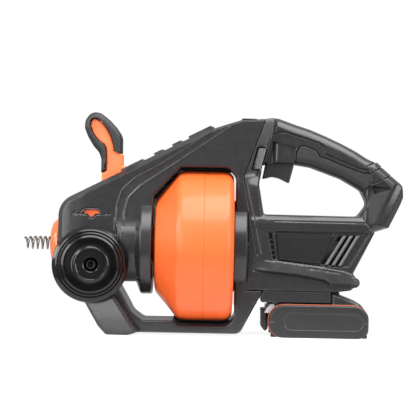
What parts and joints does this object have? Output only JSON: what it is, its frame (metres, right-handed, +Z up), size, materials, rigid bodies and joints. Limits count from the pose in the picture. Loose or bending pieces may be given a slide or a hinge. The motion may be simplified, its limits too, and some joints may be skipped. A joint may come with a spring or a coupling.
{
  "type": "drain snake machine",
  "caption": "Cordless drain snake machine: a spinning drum pays out a coiled steel cable through a lever-worked roller feed, with a trigger grip, side handle and slide-off battery.",
  "frame": {"origin": "centre of the front foot's underside, on the surface that the machine stands on", "axes": "+X from the cable outlet to the rear handle, parallel to the drum's axis; +Z up; the side handle is on the -Y side"},
  "size_m": [0.4149, 0.2317, 0.2406],
  "materials": {
    "black_housing": "fine moulded texture, satin black",
    "grey_moulding": "smooth satin dark grey",
    "orange_moulding": "glossy orange",
    "black_rubber": "soft matte black overmould",
    "spring_steel": "bright wire and ground steel",
    "dark_steel": "black oxide",
    "brass": "turned brass",
    "copper": "lacquered copper windings on a steel shaft",
    "cell_can": "sleeved battery cells"
  },
  "bodies": {
    "frame": {"frame_shell_near": "black_housing", "frame_shell_far": "black_housing", "rear_housing_near": "black_housing", "rear_housing_far": "black_housing", "switch_body": "black_housing", "side_handle_grip": "black_housing", "motor_end_cap": "black_housing", "front_foot": "grey_moulding", "nose_bezel": "orange_moulding", "grip_overmold": "black_rubber", "frame_screw_1": "dark_steel", "frame_screw_2": "dark_steel", "nose_guide_tube": "brass", "rear_guide_tube": "brass", "roller_cage": "dark_steel", "side_handle_bolt": "spring_steel", "front_bearing_outer": "spring_steel", "rear_bearing_outer": "spring_steel", "ring_gear_housing": "dark_steel", "motor_can": "dark_steel", "terminal_block": "brass"},
    "feed_lever": {"feed_lever": "orange_moulding", "lever_grip": "black_rubber", "feed_indicator": "orange_moulding"},
    "shift_ring": {"shift_ring": "spring_steel"},
    "drum": {"drum_front_shell": "orange_moulding", "drum_rear_shell": "orange_moulding", "drum_hub": "black_housing", "cable_coil": "spring_steel", "output_carrier": "spring_steel", "front_bearing_inner": "spring_steel", "rear_bearing_inner": "spring_steel"},
    "cable": {"cable_lead": "spring_steel", "auger_head": "spring_steel"},
    "input_stage": {"input_carrier": "spring_steel"},
    "armature": {"motor_armature": "copper", "cooling_fan": "black_housing"},
    "trigger": {"trigger": "black_housing", "trigger_spring": "spring_steel"},
    "selector": {"direction_selector": "grey_moulding"},
    "battery": {"battery_core_case": "black_housing", "battery_trim_near": "orange_moulding", "battery_trim_far": "orange_moulding", "battery_side_cap_near": "grey_moulding", "battery_side_cap_far": "grey_moulding", "battery_cell_pack": "cell_can"},
    "battery_button": {"battery_release_button": "black_housing"},
    "roller_yoke_1": {"roller_yoke_1": "dark_steel"},
    "feed_roller_1": {"feed_roller_1": "spring_steel"},
    "output_planet_1": {"output_planet_1": "spring_steel"},
    "input_planet_1": {"input_planet_1": "spring_steel"},
    "roller_yoke_2": {"roller_yoke_2": "dark_steel"},
    "feed_roller_2": {"feed_roller_2": "spring_steel"},
    "output_planet_2": {"output_planet_2": "spring_steel"},
    "input_planet_2": {"input_planet_2": "spring_steel"},
    "roller_yoke_3": {"roller_yoke_3": "dark_steel"},
    "feed_roller_3": {"feed_roller_3": "spring_steel"},
    "output_planet_3": {"output_planet_3": "spring_steel"},
    "input_planet_3": {"input_planet_3": "spring_steel"}
  },
  "joints": [
    {"name": "drum_spin", "type": "hinge", "parent": "frame", "child": "drum", "pos_m": [0.08, 0, 0.0965], "axis": [1, 0, 0], "continuous": true},
    {"name": "cable_feed", "type": "slide", "parent": "drum", "child": "cable", "axis": [-1, 0, 0], "range_m": [0, 0.06]},
    {"name": "input_stage_spin", "type": "hinge", "parent": "frame", "child": "input_stage", "pos_m": [0.16, 0, 0.0965], "axis": [1, 0, 0], "continuous": true},
    {"name": "motor_spin", "type": "hinge", "parent": "frame", "child": "armature", "pos_m": [0.21, 0, 0.0965], "axis": [1, 0, 0], "continuous": true},
    {"name": "feed_lever_tilt", "type": "hinge", "parent": "frame", "child": "feed_lever", "pos_m": [-0.0295, 0, 0.0965], "axis": [0, 1, 0], "range_deg": [-8, 8]},
    {"name": "shift_ring_slide", "type": "slide", "parent": "frame", "child": "shift_ring", "axis": [1, 0, 0], "range_m": [-0.0016, 0.0016]},
    {"name": "trigger_pull", "type": "slide", "parent": "frame", "child": "trigger", "axis": [0.2419, 0, 0.9703], "range_m": [0, 0.006], "stiffness_N_per_m": 600, "springref_m": -0.004, "deforming": ["trigger_spring"]},
    {"name": "selector_push", "type": "slide", "parent": "frame", "child": "selector", "axis": [0, 1, 0], "range_m": [-0.003, 0.003]},
    {"name": "battery_slide", "type": "slide", "parent": "frame", "child": "battery", "axis": [1, 0, 0], "range_m": [0, 0.07]},
    {"name": "battery_button_press", "type": "slide", "parent": "battery", "child": "battery_button", "axis": [1, 0, 0], "range_m": [0, 0.003], "stiffness_N_per_m": 500, "springref_m": -0.003},
    {"name": "yoke_turn_1", "type": "hinge", "parent": "frame", "child": "roller_yoke_1", "pos_m": [-0.0295, 0, 0.0965], "axis": [0, 0, 1], "range_deg": [-11, 11]},
    {"name": "roller_spin_1", "type": "hinge", "parent": "roller_yoke_1", "child": "feed_roller_1", "pos_m": [-0.0295, 0, 0.105], "axis": [1, 0, 0], "continuous": true},
    {"name": "output_planet_spin_1", "type": "hinge", "parent": "drum", "child": "output_planet_1", "pos_m": [0.15, 0, 0.083], "axis": [1, 0, 0], "continuous": true},
    {"name": "input_planet_spin_1", "type": "hinge", "parent": "input_stage", "child": "input_planet_1", "pos_m": [0.165, 0, 0.083], "axis": [1, 0, 0], "continuous": true},
    {"name": "yoke_turn_2", "type": "hinge", "parent": "frame", "child": "roller_yoke_2", "pos_m": [-0.0295, 0, 0.0965], "axis": [0, -0.866, -0.5], "range_deg": [-11, 11]},
    {"name": "roller_spin_2", "type": "hinge", "parent": "roller_yoke_2", "child": "feed_roller_2", "pos_m": [-0.0295, -0.00736, 0.09225], "axis": [1, 0, 0], "continuous": true},
    {"name": "output_planet_spin_2", "type": "hinge", "parent": "drum", "child": "output_planet_2", "pos_m": [0.15, 0.01169, 0.10325], "axis": [1, 0, 0], "continuous": true},
    {"name": "input_planet_spin_2", "type": "hinge", "parent": "input_stage", "child": "input_planet_2", "pos_m": [0.165, 0.01169, 0.10325], "axis": [1, 0, 0], "continuous": true},
    {"name": "yoke_turn_3", "type": "hinge", "parent": "frame", "child": "roller_yoke_3", "pos_m": [-0.0295, 0, 0.0965], "axis": [0, 0.866, -0.5], "range_deg": [-11, 11]},
    {"name": "roller_spin_3", "type": "hinge", "parent": "roller_yoke_3", "child": "feed_roller_3", "pos_m": [-0.0295, 0.00736, 0.09225], "axis": [1, 0, 0], "continuous": true},
    {"name": "output_planet_spin_3", "type": "hinge", "parent": "drum", "child": "output_planet_3", "pos_m": [0.15, -0.01169, 0.10325], "axis": [1, 0, 0], "continuous": true},
    {"name": "input_planet_spin_3", "type": "hinge", "parent": "input_stage", "child": "input_planet_3", "pos_m": [0.165, -0.01169, 0.10325], "axis": [1, 0, 0], "continuous": true}
  ],
  "couplings": [
    {"joint": "input_stage_spin", "follows": "drum_spin", "ratio": 4.5},
    {"joint": "motor_spin", "follows": "drum_spin", "ratio": 20.25},
    {"joint": "shift_ring_slide", "follows": "feed_lever_tilt", "m_per_rad": 0.0106},
    {"joint": "yoke_turn_1", "follows": "feed_lever_tilt", "ratio": 1.325},
    {"joint": "roller_spin_1", "follows": "drum_spin", "ratio": -0.64},
    {"joint": "output_planet_spin_1", "follows": "drum_spin", "ratio": -2.8},
    {"joint": "input_planet_spin_1", "follows": "drum_spin", "ratio": -12.6},
    {"joint": "yoke_turn_2", "follows": "feed_lever_tilt", "ratio": 1.325},
    {"joint": "roller_spin_2", "follows": "drum_spin", "ratio": -0.64},
    {"joint": "output_planet_spin_2", "follows": "drum_spin", "ratio": -2.8},
    {"joint": "input_planet_spin_2", "follows": "drum_spin", "ratio": -12.6},
    {"joint": "yoke_turn_3", "follows": "feed_lever_tilt", "ratio": 1.325},
    {"joint": "roller_spin_3", "follows": "drum_spin", "ratio": -0.64},
    {"joint": "output_planet_spin_3", "follows": "drum_spin", "ratio": -2.8},
    {"joint": "input_planet_spin_3", "follows": "drum_spin", "ratio": -12.6}
  ]
}
